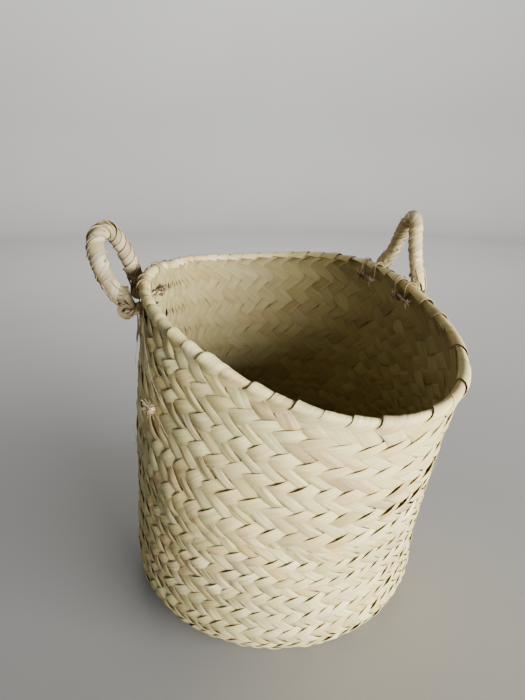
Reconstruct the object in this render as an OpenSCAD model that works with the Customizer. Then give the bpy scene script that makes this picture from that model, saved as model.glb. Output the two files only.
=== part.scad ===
// Round storage basket of plaited palm leaf with two rope handles.
// Millimetres. The origin is the middle of the base on the floor, +Z is up,
// +X is to the right and +Y to the back.

/* [Base and wall] */
// Radius of the wall just above the rounded foot
body_r = 147; // [140:1:155]
// Radius of the rounding between base and wall
foot_r = 43; // [38:1:48]
// Length of the wall from the floor up to the rim
wall_len = 303; // [295:1:320]
// How late the wall starts to spread towards the mouth
spread_power = 1.6; // [1.4:0.1:2]
// Thickness of the plait
plait_t = 3; // [2.5:0.5:3.5]

/* [Plaited braid] */
// Radius of the small disc that the coiled braid starts from
button_r = 20; // [15:1:25]
// Width of the braid, from one sewn edge to the next
braid_w = 63.5; // [62:0.5:65]
// Diameter of the cord that sews one turn to the next
seam_cord_d = 2.4; // [2:0.1:2.6]
// Gap between two turns, where the seam cord runs
seam_gap = 2.8; // [2.7:0.1:3.2]

/* [Mouth] */
// Mean radius of the mouth
mouth_r = 159; // [155:1:163]
// How far the mouth sits to the right of the base
mouth_right = 24; // [18:1:28]
// How far the mouth sits to the back of the base
mouth_back = 14; // [8:1:18]
// Amount by which the mouth is drawn out into an oval
mouth_oval = 20; // [12:1:22]
// Direction of the oval's long axis, in degrees from +X
mouth_oval_dir = 98; // [90:1:106]
// Depth of the three soft corners of the mouth
mouth_corners = 15; // [8:1:17]
// Direction of the corner at the back, in degrees from +X
mouth_corner_dir = 96; // [90:1:102]

/* [Rim] */
// How much lower the rim lies on the right than in the middle
rim_fall_right = 28; // [20:1:32]
// How much higher the rim lies at the back than in the middle
rim_rise_back = 24; // [16:1:28]
// How far the handles pull the rim up
rim_lift = 19; // [10:1:22]
// Direction in which the rim is pulled up, in degrees from +X
rim_lift_dir = 30; // [24:1:36]
// Diameter of the rolled rim
rim_d = 11; // [10.5:0.1:11.4]
// Diameter of the rope inside the rim
rim_core_d = 5.6; // [5:0.2:5.8]

/* [Handles] */
// Diameter of the wrapped handle
handle_d = 15; // [14:0.5:15]
// Diameter of the rope inside the handle
handle_core_d = 11.8; // [10:0.1:11.8]
// Inner diameter of the eye at each foot of a handle
eye_bore_d = 5.1; // [5.1:0.01:5.2]
// Outer diameter of the eye
eye_d = 13; // [12:0.5:13]
// Width of the eye along its hinge line
eye_w = 14; // [12:1:14]
// Diameter of the lashing cord that the eye turns on
lashing_d = 5; // [4.9:0.01:5]
// Distance of the hinge line from the outside of the wall
hinge_out = 12; // [12:0.5:14]
// Directions of the left handle's back and front foot, in degrees from +X
left_feet = [185, 206];
// Depth of the left handle's feet below the rim
left_drop = 20; // [18:1:24]
// Directions of the right handle's back and front foot, in degrees from +X
right_feet = [45, 24];
// Depth of the right handle's feet below the rim
right_drop = 12; // [12:1:16]

/* [Side tie] */
// Direction of the tied knot on the left side, in degrees from +X
tie_dir = 224; // [218:1:230]
// Height of the tied knot
tie_z = 240; // [220:1:260]
// Diameter of the tied knot
tie_d = 10; // [8:0.5:12]

/* [Hidden] */

leaf_colour = [0.80, 0.76, 0.63];
cord_colour = [0.66, 0.56, 0.40];
rope_colour = [0.77, 0.68, 0.52];

around = 60;      // steps round the basket in a free-form ring
round_fn = 96;    // fragments of a true round
rope_sides = 10;  // sides of a swept rope
fit_gap = 0.1;    // air between a skin and the rope in it

// ---- the basket's surface ----
flat_r = body_r - foot_r;
foot_end = flat_r + foot_r * PI / 2;
wall_run = wall_len - foot_r;
rim_q = foot_end + wall_run;

// Mouth radius and rim height in the direction a
function mouth(a) = mouth_r + mouth_right * cos(a) + mouth_back * sin(a)
    + mouth_oval * cos(2 * (a - mouth_oval_dir))
    + mouth_corners * cos(3 * (a - mouth_corner_dir));
function rim_z(a) = sqrt(wall_len * wall_len - pow(mouth(a) - body_r, 2))
    - rim_fall_right * cos(a) + rim_rise_back * sin(a)
    + rim_lift * cos(2 * (a - rim_lift_dir));

// Radius and height of the point at path length q from the base's middle,
// in the direction a, at the depth d under the outer surface
function flat_rz(q, d) = [q, d];
function foot_rz(q, d) =
    let (t = (q - flat_r) / foot_r * 180 / PI)
    [flat_r + (foot_r - d) * sin(t), foot_r - (foot_r - d) * cos(t)];
function wall_rz(q, a, d) =
    let (s = (q - foot_end) / wall_run)
    [body_r + (mouth(a) - body_r) * pow(s, spread_power) - d, foot_r + (rim_z(a) - foot_r) * s];
function skin_rz(q, a, d) =
    q < flat_r ? flat_rz(q, d) : q < foot_end ? foot_rz(q, d) : wall_rz(q, a, d);

// Path length over which the wall rises by h in the direction a
function wall_dq(h, a) = h * wall_run / (rim_z(a) - foot_r);

function from_rz(rz, a) = [rz[0] * cos(a), rz[0] * sin(a), rz[1]];
function skin(q, a, d) = from_rz(skin_rz(q, a, d), a);
function unit(v) = v / norm(v);

// ---- swept solids ----
// A closed ring through a list of closed outlines, all with the same count
module ring_solid(outlines) {
    n = len(outlines);
    m = len(outlines[0]);
    faces = [
        for (i = [0:n - 1], j = [0:m - 1])
            let (k = (i + 1) % n, l = (j + 1) % m)
                each [[i * m + j, k * m + j, k * m + l], [i * m + j, k * m + l, i * m + l]]
    ];
    polyhedron(points = [for (o = outlines) each o], faces = faces, convexity = 6);
}

// An open tube through a list of round outlines, closed by a flat end at each side
module tube_solid(outlines) {
    n = len(outlines);
    m = len(outlines[0]);
    sides = [
        for (i = [0:n - 2], j = [0:m - 1])
            let (l = (j + 1) % m)
                each [[i * m + j, i * m + l, (i + 1) * m + j], [i * m + l, (i + 1) * m + l, (i + 1) * m + j]]
    ];
    start = [[for (j = [m - 1:-1:0]) j]];
    end = [[for (j = [0:m - 1]) (n - 1) * m + j]];
    polyhedron(points = [for (o = outlines) each o], faces = concat(sides, start, end), convexity = 6);
}

// ---- turns of the braid ----
function seam_q(i) = button_r + i * braid_w;

// Outline of a turn between two path lengths: up the inside, down the outside
function turn_outline(q0, q1, steps, a) = concat(
    [for (i = [0:steps]) skin(q0 + (q1 - q0) * i / steps, a, plait_t)],
    [for (i = [steps:-1:0]) skin(q0 + (q1 - q0) * i / steps, a, 0)]
);

module free_turn(q0, q1, steps)
    ring_solid([for (i = [0:around - 1]) turn_outline(q0, q1, steps, i * 360 / around)]);

module wall_turn(i, steps)
    color(leaf_colour) free_turn(seam_q(i) + seam_gap / 2, seam_q(i + 1) - seam_gap / 2, steps);

module start_button()
    color(leaf_colour) cylinder(r = button_r - seam_gap / 2, h = plait_t, $fn = round_fn);

module base_turn_1() color(leaf_colour)
    difference() {
        cylinder(r = seam_q(1) - seam_gap / 2, h = plait_t, $fn = round_fn);
        translate([0, 0, -1])
            cylinder(r = seam_q(0) + seam_gap / 2, h = plait_t + 2, $fn = round_fn);
    }

module base_turn_2() {
    q0 = seam_q(1) + seam_gap / 2;
    q1 = seam_q(2) - seam_gap / 2;
    arc_steps = 8;
    outer = [for (i = [0:arc_steps]) foot_rz(flat_r + (q1 - flat_r) * i / arc_steps, 0)];
    inner = [for (i = [arc_steps:-1:0]) foot_rz(flat_r + (q1 - flat_r) * i / arc_steps, plait_t)];
    color(leaf_colour) rotate_extrude($fn = round_fn)
        polygon(concat([[q0, 0]], outer, inner, [[q0, plait_t]]));
}

module wall_turn_1() wall_turn(2, 6);
module wall_turn_2() wall_turn(3, 4);
module wall_turn_3() wall_turn(4, 4);
module wall_turn_4() wall_turn(5, 4);

// The last turn ends under the rope in the rim
module rim_turn()
    color(leaf_colour) ring_solid([
        for (i = [0:around - 1])
            let (a = i * 360 / around, q1 = rim_q - wall_dq(rim_core_d / 2 + fit_gap, a))
                turn_outline(seam_q(6) + seam_gap / 2, q1, 2, a)
    ]);

// ---- cords between the turns ----
module round_seam_cord(i) {
    rz = skin_rz(seam_q(i), 0, plait_t / 2);
    color(cord_colour) rotate_extrude($fn = round_fn)
        translate(rz)
            circle(d = seam_cord_d, $fn = 24);
}

function cord_outline(q, a, sides) =
    let (c = skin_rz(q, a, plait_t / 2), r = seam_cord_d / 2)
    [for (j = [0:sides - 1])
        let (t = -j * 360 / sides)
        from_rz([c[0] + r * cos(t), c[1] + r * sin(t)], a)];

module free_seam_cord(i)
    color(cord_colour)
        ring_solid([for (k = [0:around - 1]) cord_outline(seam_q(i), k * 360 / around, 6)]);

module seam_cord_1() round_seam_cord(0);
module seam_cord_2() round_seam_cord(1);
module seam_cord_3() round_seam_cord(2);
module seam_cord_4() free_seam_cord(3);
module seam_cord_5() free_seam_cord(4);
module seam_cord_6() free_seam_cord(5);
module seam_cord_7() free_seam_cord(6);

// ---- rim ----
// Points of the rim's section at radius r and angle t, in the direction a,
// where t = 90 points on along the wall and t = 0 points outwards
function rim_point(a, r, t) =
    let (
        c = skin(rim_q, a, plait_t / 2),
        up = unit(c - skin(rim_q - rim_d / 2, a, plait_t / 2)),
        radial = [cos(a), sin(a), 0],
        out = unit(radial - (radial * up) * up)
    )
    c + out * r * cos(t) + up * r * sin(t);

module rim_core() {
    sides = 8;
    color(cord_colour) ring_solid([
        for (i = [0:around - 1])
            [for (j = [0:sides - 1]) rim_point(i * 360 / around, rim_core_d / 2, -j * 360 / sides)]
    ]);
}

// The roll is open below, where it takes in the edge of the last turn
module rim_roll() {
    half_slot = 40;
    t0 = -90 + half_slot;
    t1 = 270 - half_slot;
    steps = 7;
    inner_r = rim_core_d / 2 + fit_gap + 0.3;
    color(leaf_colour) ring_solid([
        for (i = [0:around - 1])
            let (a = i * 360 / around)
                concat(
                    [for (j = [steps:-1:0]) rim_point(a, rim_d / 2, t0 + (t1 - t0) * j / steps)],
                    [for (j = [0:steps]) rim_point(a, inner_r, t0 + (t1 - t0) * j / steps)]
                )
    ]);
}

// ---- handles ----
// Each handle has its own axes: u along the hinge line from the back foot to
// the front one, v away from the basket, and w up along the handle.
left_route = [
    [-26, 0, 6.8], [-25, 3, 17], [-21, 7, 35], [-16, 11, 47], [-10, 14, 55], [-1, 18, 61],
    [11, 23, 59], [20, 23, 49], [23, 19, 33], [25, 11, 17], [26, 1, 6.8]
];
right_route = [
    [-32, 0, 6.8], [-31, 1.2, 14], [-26, 2.5, 24], [-19, 3.5, 39], [-14, 4.5, 56], [-9, 6, 69],
    [-1, 6, 76], [7, 4, 69], [13, 1.5, 56], [19, 0.5, 40], [26, 1.8, 22], [31.5, 1.2, 12], [32, 0, 6.8]
];

function pin_centre(a, drop) = skin(rim_q - wall_dq(drop, a), a, -hinge_out);
function handle_origin(feet, drop) = (pin_centre(feet[0], drop) + pin_centre(feet[1], drop)) / 2;
function handle_u(feet, drop) = unit(pin_centre(feet[1], drop) - pin_centre(feet[0], drop));
// The cross product with +Z points inwards or outwards, as the feet are ordered
function handle_v(feet, drop) =
    let (
        across = unit(cross(handle_u(feet, drop), [0, 0, 1])),
        away = handle_origin(feet, drop)
    )
    across[0] * away[0] + across[1] * away[1] > 0 ? across : -across;
function handle_w(feet, drop) =
    let (up = cross(handle_u(feet, drop), handle_v(feet, drop)))
    up[2] > 0 ? up : -up;
function half_span(feet, drop) = norm(pin_centre(feet[1], drop) - pin_centre(feet[0], drop)) / 2;

// Draws its children in the handle's axes
module on_handle(feet, drop) {
    o = handle_origin(feet, drop);
    u = handle_u(feet, drop);
    v = handle_v(feet, drop);
    w = handle_w(feet, drop);
    multmatrix([
        [u[0], v[0], w[0], o[0]],
        [u[1], v[1], w[1], o[1]],
        [u[2], v[2], w[2], o[2]],
        [0, 0, 0, 1]
    ])
        children();
}

// A smooth curve through the points of a route
function spline(a, b, c, d, t) =
    0.5 * (2 * b + (c - a) * t + (2 * a - 5 * b + 4 * c - d) * t * t + (3 * b - a - 3 * c + d) * t * t * t);
function smooth(route, steps) =
    let (n = len(route))
    [for (i = [0:n - 2], k = [0:steps - 1])
        spline(route[max(i - 1, 0)], route[i], route[i + 1], route[min(i + 2, n - 1)], k / steps),
     route[n - 1]];

// Round outlines of radius r along a path that lies nearly square to v
function rope_outlines(path, r) =
    let (n = len(path))
    [for (i = [0:n - 1])
        let (
            along = i == 0 || i == n - 1 ? [0, 0, i == 0 ? 1 : -1] : unit(path[i + 1] - path[i - 1]),
            side = unit(cross(along, [0, 1, 0])),
            other = cross(side, along)
        )
        [for (j = [0:rope_sides - 1])
            let (t = j * 360 / rope_sides)
            path[i] + side * r * cos(t) + other * r * sin(t)]];

module handle_core(route)
    color(cord_colour) tube_solid(rope_outlines(smooth(route, 2), handle_core_d / 2));

// The wrap is a pipe, made as a ring of outlines that run out along it and back inside
module handle_wrap(route) {
    path = smooth(route, 2);
    n = len(path);
    outer = rope_outlines(path, handle_d / 2);
    inner = rope_outlines(path, handle_core_d / 2 + fit_gap);
    color(rope_colour) ring_solid([
        for (j = [0:rope_sides - 1])
            concat([for (i = [0:n - 1]) outer[i][j]], [for (i = [n - 1:-1:0]) inner[i][j]])
    ]);
}

// side is -1 for the back foot and 1 for the front one
module eye(feet, drop, side) color(rope_colour)
    translate([side * half_span(feet, drop), 0, 0])
        rotate([0, 90, 0])
            difference() {
                cylinder(d = eye_d, h = eye_w, center = true, $fn = round_fn);
                cylinder(d = eye_bore_d, h = eye_w + 2, center = true, $fn = round_fn);
            }

knot_r = 5;
knot_gap = 3.4;
leg_x = eye_w / 2 + lashing_d / 2 + 1;
leg_len = hinge_out + plait_t + knot_gap + knot_r;

module lashing_legs(d)
    for (s = [-1, 1])
        translate([s * leg_x, 0, 0])
            rotate([90, 0, 0])
                cylinder(d = d, h = leg_len, $fn = round_fn);

module lashing(feet, drop, side) color(cord_colour)
    translate([side * half_span(feet, drop), 0, 0]) {
        rotate([0, 90, 0])
            cylinder(d = lashing_d, h = 2 * leg_x, center = true, $fn = round_fn);
        lashing_legs(lashing_d);
        for (s = [-1, 1])
            translate([s * leg_x, 0, 0])
                sphere(d = lashing_d, $fn = round_fn);
    }

// The knot lies inside the wall and holds both legs of the lashing
module knot(feet, drop, side) color(cord_colour)
    translate([side * half_span(feet, drop), 0, 0])
        difference() {
            translate([0, -leg_len, 0]) {
                rotate([0, 90, 0])
                    cylinder(r = knot_r, h = 2 * leg_x, center = true, $fn = round_fn);
                for (s = [-1, 1])
                    translate([s * leg_x, 0, 0])
                        sphere(r = knot_r, $fn = round_fn);
            }
            lashing_legs(lashing_d);
        }

module on_left() on_handle(left_feet, left_drop) children();
module on_right() on_handle(right_feet, right_drop) children();

module left_handle_core() on_left() handle_core(left_route);
module left_handle_wrap() on_left() handle_wrap(left_route);
module left_back_eye() on_left() eye(left_feet, left_drop, -1);
module left_front_eye() on_left() eye(left_feet, left_drop, 1);
module left_back_lashing() on_left() lashing(left_feet, left_drop, -1);
module left_front_lashing() on_left() lashing(left_feet, left_drop, 1);
module left_back_knot() on_left() knot(left_feet, left_drop, -1);
module left_front_knot() on_left() knot(left_feet, left_drop, 1);

module right_handle_core() on_right() handle_core(right_route);
module right_handle_wrap() on_right() handle_wrap(right_route);
module right_back_eye() on_right() eye(right_feet, right_drop, -1);
module right_front_eye() on_right() eye(right_feet, right_drop, 1);
module right_back_lashing() on_right() lashing(right_feet, right_drop, -1);
module right_front_lashing() on_right() lashing(right_feet, right_drop, 1);
module right_back_knot() on_right() knot(right_feet, right_drop, -1);
module right_front_knot() on_right() knot(right_feet, right_drop, 1);

// ---- tied strand on the left side ----
module side_tie() {
    q = foot_end + wall_dq(tie_z - foot_r, tie_dir);
    color(cord_colour)
        translate(skin(q, tie_dir, -tie_d / 2 - fit_gap))
            sphere(d = tie_d, $fn = round_fn);
}

start_button();
base_turn_1();
base_turn_2();
wall_turn_1();
wall_turn_2();
wall_turn_3();
wall_turn_4();
rim_turn();
seam_cord_1();
seam_cord_2();
seam_cord_3();
seam_cord_4();
seam_cord_5();
seam_cord_6();
seam_cord_7();
rim_core();
rim_roll();
left_handle_core();
left_handle_wrap();
left_back_eye();
left_front_eye();
left_back_lashing();
left_front_lashing();
left_back_knot();
left_front_knot();
right_handle_core();
right_handle_wrap();
right_back_eye();
right_front_eye();
right_back_lashing();
right_front_lashing();
right_back_knot();
right_front_knot();
side_tie();
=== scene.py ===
"""Looks of the plaited palm-leaf storage basket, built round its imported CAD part. Metres throughout."""

import math

import bpy
import numpy as np
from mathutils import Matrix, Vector


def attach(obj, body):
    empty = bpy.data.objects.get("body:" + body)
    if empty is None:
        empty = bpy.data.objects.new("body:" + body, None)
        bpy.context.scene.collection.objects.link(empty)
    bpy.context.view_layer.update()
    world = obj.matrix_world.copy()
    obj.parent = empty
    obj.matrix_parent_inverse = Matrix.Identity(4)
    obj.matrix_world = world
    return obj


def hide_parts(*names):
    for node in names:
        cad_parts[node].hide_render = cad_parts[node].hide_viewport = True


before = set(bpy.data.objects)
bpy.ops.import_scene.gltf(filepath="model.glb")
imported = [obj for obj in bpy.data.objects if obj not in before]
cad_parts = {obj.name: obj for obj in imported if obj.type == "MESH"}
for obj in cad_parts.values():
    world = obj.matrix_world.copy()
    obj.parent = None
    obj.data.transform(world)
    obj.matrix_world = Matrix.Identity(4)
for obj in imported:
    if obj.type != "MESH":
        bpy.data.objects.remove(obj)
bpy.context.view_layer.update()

MM = 0.001
rng = np.random.default_rng(7)

# ---- the basket's surface, with the CAD source's own dimensions ----
BODY_R, FOOT_R, WALL_LEN, SPREAD_POWER, PLAIT_T = 147 * MM, 43 * MM, 303 * MM, 1.6, 3 * MM
BUTTON_R, BRAID_W = 20 * MM, 63.5 * MM
MOUTH_R, MOUTH_RIGHT, MOUTH_BACK = 159 * MM, 24 * MM, 14 * MM
MOUTH_OVAL, MOUTH_OVAL_DIR = 20 * MM, math.radians(98)
MOUTH_CORNERS, MOUTH_CORNER_DIR = 15 * MM, math.radians(96)
RIM_FALL_RIGHT, RIM_RISE_BACK = 28 * MM, 24 * MM
RIM_LIFT, RIM_LIFT_DIR = 19 * MM, math.radians(30)
RIM_D, RIM_CORE_D = 11 * MM, 5.6 * MM
HANDLE_CORE_D, EYE_D, EYE_BORE_D, EYE_W = 11.8 * MM, 13 * MM, 5.1 * MM, 14 * MM
LASHING_D, HINGE_OUT, KNOT_GAP, KNOT_R = 5 * MM, 12 * MM, 3.4 * MM, 5 * MM
LEFT_FEET, LEFT_DROP = (math.radians(185), math.radians(206)), 20 * MM
RIGHT_FEET, RIGHT_DROP = (math.radians(45), math.radians(24)), 12 * MM
TIE_DIR, TIE_Z = math.radians(224), 240 * MM

FLAT_R = BODY_R - FOOT_R
FOOT_END = FLAT_R + FOOT_R * math.pi / 2
WALL_RUN = WALL_LEN - FOOT_R
RIM_Q = FOOT_END + WALL_RUN

DENTS = 1.1 * MM  # slackness of the wall, out and in


def mouth(a):
    return (MOUTH_R + MOUTH_RIGHT * np.cos(a) + MOUTH_BACK * np.sin(a)
            + MOUTH_OVAL * np.cos(2 * (a - MOUTH_OVAL_DIR))
            + MOUTH_CORNERS * np.cos(3 * (a - MOUTH_CORNER_DIR)))


def rim_z(a):
    return (np.sqrt(WALL_LEN ** 2 - (mouth(a) - BODY_R) ** 2)
            - RIM_FALL_RIGHT * np.cos(a) + RIM_RISE_BACK * np.sin(a)
            + RIM_LIFT * np.cos(2 * (a - RIM_LIFT_DIR)))


def dent(a, s):
    """Soft unevenness of the wall, nothing at the foot and at the rim."""
    waves = np.sin(3 * a + 5 * s) + 0.8 * np.sin(7 * a - 9 * s + 1) + 0.5 * np.sin(13 * a + 14 * s)
    return DENTS * waves * np.sin(math.pi * np.clip(s, 0, 1))


def skin(q, a, d, slack=1.0):
    """Points at path length q from the base's middle, in the direction a, d under the outer surface. slack 0
    leaves out the wall's unevenness."""
    q, a, d = np.broadcast_arrays(q, a, d)
    s = np.clip((q - FOOT_END) / WALL_RUN, 0, None)
    t = np.clip((q - FLAT_R) / FOOT_R, 0, math.pi / 2)
    flat, foot = q < FLAT_R, q < FOOT_END
    r = BODY_R + (mouth(a) - BODY_R) * s ** SPREAD_POWER - d + slack * dent(a, s)
    r = np.where(foot, FLAT_R + (FOOT_R - d) * np.sin(t), r)
    z = np.where(foot, FOOT_R - (FOOT_R - d) * np.cos(t), FOOT_R + (rim_z(a) - FOOT_R) * s)
    r, z = np.where(flat, q, r), np.where(flat, d, z)
    return np.stack([r * np.cos(a), r * np.sin(a), z], -1)


def unit(v):
    return v / np.linalg.norm(v, axis=-1, keepdims=True)


def ease(t):
    t = np.clip(t, 0, 1)
    return t * t * (3 - 2 * t)


def seam_q(i):
    return BUTTON_R + i * BRAID_W


# ---- meshes from thin strips ----
LEAF_T = 0.45 * MM
TONE, ACROSS, STRIP_UV = "leaf_tone", "leaf_across", "strip"


class Strips:
    """Collects closed thin solids and makes one mesh object of them."""

    def __init__(self, inside=None):
        self.inside = inside   # painted shade: darkens, dulls and evens out the tones on the side that the strips' normals point to
        self.co, self.quads, self.tone, self.across, self.uv, self.count = [], [], [], [], [], 0

    def add(self, grid, across, tone, along, thick=LEAF_T, spread=0.0):
        """grid holds the middle surfaces of several strips: (strip, step along, step across, xyz).
        across is from -1 to 1 over a strip's width, along is the length run so far, tone a colour per strip.
        spread moves each strip's pattern, so that no two look the same."""
        n, k, m, _ = grid.shape
        across = np.broadcast_to(across, (n, k, m))
        du, dv = np.gradient(grid, axis=1), np.gradient(grid, axis=2)
        normal = unit(np.cross(du, dv) + 1e-12)
        thick = np.asarray(thick, float)
        thick = thick if thick.ndim == 3 else thick.reshape(-1, 1, 1)
        half = np.broadcast_to(thick, (n, k, m))[..., None] / 2
        top, low = grid + normal * half, grid - normal * half
        co = np.concatenate([top.reshape(n, -1, 3), low.reshape(n, -1, 3)], 1)
        index = np.arange(k * m).reshape(k, m)
        a, b, c, d = index[:-1, :-1], index[1:, :-1], index[1:, 1:], index[:-1, 1:]
        under = k * m

        def quads(*corners):
            return np.stack([x.reshape(-1) for x in corners], -1)

        left, right, start, end = index[:, 0], index[:, -1], index[0], index[-1]
        one = np.concatenate([
            quads(a, b, c, d),
            quads(d + under, c + under, b + under, a + under),
            quads(left[:-1], left[:-1] + under, left[1:] + under, left[1:]),
            quads(right[:-1], right[1:], right[1:] + under, right[:-1] + under),
            quads(start[:-1], start[1:], start[1:] + under, start[:-1] + under),
            quads(end[:-1], end[:-1] + under, end[1:] + under, end[1:]),
        ])
        offsets = (np.arange(n) * 2 * under)[:, None, None] + self.count
        self.quads.append((one[None] + offsets).reshape(-1, 4))
        self.count += n * 2 * under
        self.co.append(co.reshape(-1, 3))

        def both(x):
            x = np.broadcast_to(x, (n, k, m)).reshape(n, -1)
            return np.concatenate([x, x], 1).reshape(-1)

        self.across.append(both(across))
        tone = np.broadcast_to(np.asarray(tone, float).reshape(-1, 3), (n, 3))
        # the face toward the normals gets the painted shade of the basket's inside
        sides = np.stack([(tone + tone.mean(0)) / 2 * self.inside if self.inside else tone, tone], 1)
        self.tone.append(np.repeat(sides.reshape(-1, 3), under, 0))
        step = np.linalg.norm(np.gradient(grid, axis=2), axis=-1).mean(axis=(1, 2), keepdims=True)
        half_width = step * (m - 1) / 2
        self.uv.append(np.stack([both(np.broadcast_to(along, (n, k, m)) + spread),
                                 both(across * half_width + 3 * spread)], -1))

    def mesh(self, name, material):
        co, quads = np.concatenate(self.co), np.concatenate(self.quads)
        me = bpy.data.meshes.new(name)
        me.vertices.add(len(co))
        me.vertices.foreach_set("co", co.astype(np.float32).ravel())
        me.loops.add(quads.size)
        me.loops.foreach_set("vertex_index", quads.astype(np.int32).ravel())
        me.polygons.add(len(quads))
        me.polygons.foreach_set("loop_start", np.arange(0, quads.size, 4, dtype=np.int32))
        me.update(calc_edges=True)
        me.polygons.foreach_set("use_smooth", np.ones(len(quads), bool))
        uv = np.concatenate(self.uv)[quads.ravel()]
        me.uv_layers.new(name=STRIP_UV).data.foreach_set("uv", uv.astype(np.float32).ravel())
        tone = np.concatenate(self.tone)
        rgba = np.concatenate([tone, np.ones((len(tone), 1))], 1)
        me.attributes.new(TONE, "FLOAT_COLOR", "POINT").data.foreach_set(
            "color", rgba.astype(np.float32).ravel())
        me.attributes.new(ACROSS, "FLOAT", "POINT").data.foreach_set(
            "value", np.concatenate(self.across).astype(np.float32))
        me.set_sharp_from_angle(angle=math.radians(48))
        me.materials.append(material)
        ob = bpy.data.objects.new(name, me)
        bpy.context.scene.collection.objects.link(ob)
        return ob


def place(ob, body, slot, *nodes):
    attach(ob, body)
    if nodes:
        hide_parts(*nodes)


# ---- materials ----
def new_material(name):
    mat = bpy.data.materials.new(name)
    mat.use_nodes = True
    mat.node_tree.nodes.clear()
    return mat, mat.node_tree


class Nodes:
    """Short calls to make and link shader nodes."""

    def __init__(self, tree):
        self.tree = tree

    def make(self, kind, inputs=(), **settings):
        node = self.tree.nodes.new("ShaderNode" + kind)
        for key, value in settings.items():
            setattr(node, key, value)
        for key, value in dict(inputs).items():
            if isinstance(value, bpy.types.NodeSocket):
                self.tree.links.new(value, node.inputs[key])
            else:
                node.inputs[key].default_value = value
        return node

    def noise(self, vector, scale, detail=2.0, rough=0.5):
        """Noise from 0 to 1 over a vector first stretched by scale."""
        stretched = self.make("Mapping", {"Vector": vector, "Scale": scale})
        node = self.make("TexNoise", {"Vector": stretched.outputs[0], "Scale": 1.0,
                                      "Detail": detail, "Roughness": rough})
        return node.outputs["Fac"]

    def remap(self, value, low, high, to_low, to_high):
        return self.make("MapRange", {"Value": value, "From Min": low, "From Max": high,
                                      "To Min": to_low, "To Max": to_high}).outputs[0]

    def math(self, operation, a, b=0.0):
        return self.make("Math", {0: a, 1: b}, operation=operation).outputs[0]

    def mix(self, blend, share, a, b):
        return self.make("Mix", {0: share, 6: a, 7: b}, data_type="RGBA", blend_type=blend).outputs[2]

    def scaled(self, colour, factor):
        """colour times a grey factor."""
        grey = self.make("CombineColor", {0: factor, 1: factor, 2: factor}).outputs[0]
        return self.mix("MULTIPLY", 1.0, colour, grey)


def leaf_material(name, edge_dry_and_shade_colour, spot_share, roughness, bump):
    """Dry leaf, in each strip's own tone: lengthwise fibres, blotches, edges darkened partly as drier leaf
    and partly as painted shade in the crevices between strips, and small brown spots.
    """
    mat, tree = new_material(name)
    n = Nodes(tree)
    uv = n.make("UVMap", uv_map=STRIP_UV).outputs[0]
    tone = n.make("Attribute", attribute_name=TONE).outputs["Color"]
    across = n.make("Attribute", attribute_name=ACROSS).outputs["Fac"]
    fibres = n.noise(uv, (22, 1500, 1), 3)
    ribs = n.noise(uv, (9, 420, 1), 2)
    blotches = n.noise(uv, (38, 110, 1), 3)
    long_fade = n.noise(uv, (24, 30, 1), 1)
    spots = n.noise(uv, (260, 700, 1), 1)

    colour = n.scaled(tone, n.remap(fibres, 0.25, 0.75, 0.84, 1.12))
    colour = n.scaled(colour, n.remap(ribs, 0.3, 0.7, 0.86, 1.08))
    colour = n.scaled(colour, n.remap(blotches, 0.3, 0.7, 0.90, 1.07))
    warm = n.remap(long_fade, 0.45, 0.7, 0.0, 0.35)
    colour = n.mix("MULTIPLY", warm, colour, (0.93, 0.84, 0.70, 1))
    # Edges darkened towards the edge colour: partly drier leaf, partly painted shade in the crevices between
    # strips
    edge = n.remap(n.math("ABSOLUTE", across), 0.74, 1.0, 0.0, 0.6)
    dry_and_shaded_edge = n.math("MULTIPLY", edge, n.remap(blotches, 0.35, 0.65, 0.1, 1.0))
    colour = n.mix("MIX", dry_and_shaded_edge, colour, edge_dry_and_shade_colour)
    spot = n.remap(spots, 1 - spot_share, 1 - spot_share + 0.06, 0.0, 0.6)
    colour = n.mix("MIX", spot, colour, (0.16, 0.10, 0.05, 1))

    height = n.math("ADD", n.math("MULTIPLY", fibres, 0.5), n.math("MULTIPLY", ribs, 1.0))
    bumped = n.make("Bump", {"Height": height, "Strength": bump, "Distance": 0.5 * MM}).outputs[0]
    shader = n.make("BsdfPrincipled", {
        "Base Color": colour, "Normal": bumped,
        "Roughness": n.remap(blotches, 0.2, 0.8, roughness - 0.08, roughness + 0.1),
        "Specular IOR Level": 0.35})
    n.make("OutputMaterial", {"Surface": shader.outputs[0]})
    return mat


def plain_material(name, colour, roughness):
    mat, tree = new_material(name)
    n = Nodes(tree)
    where = n.make("TexCoord").outputs["Object"]
    soft = n.noise(where, (1.5, 1.5, 1.5), 2)
    base = n.make("RGB").outputs[0]
    base.default_value = colour
    shader = n.make("BsdfPrincipled", {
        "Base Color": n.scaled(base, n.remap(soft, 0.3, 0.7, 0.97, 1.03)),
        "Roughness": roughness, "Specular IOR Level": 0.2})
    n.make("OutputMaterial", {"Surface": shader.outputs[0]})
    return mat


# Each material's edge colour is partly drier leaf and partly painted crevice shade
LEAF = leaf_material("palm_leaf", (0.40, 0.29, 0.16, 1), spot_share=0.27, roughness=0.62, bump=0.5)
HANDLE = leaf_material("handle_leaf", (0.33, 0.22, 0.12, 1), spot_share=0.30, roughness=0.60, bump=0.7)
CORD = leaf_material("palm_cord", (0.30, 0.21, 0.12, 1), spot_share=0.30, roughness=0.72, bump=0.9)

STRAW = (0.625, 0.52, 0.225)
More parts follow.
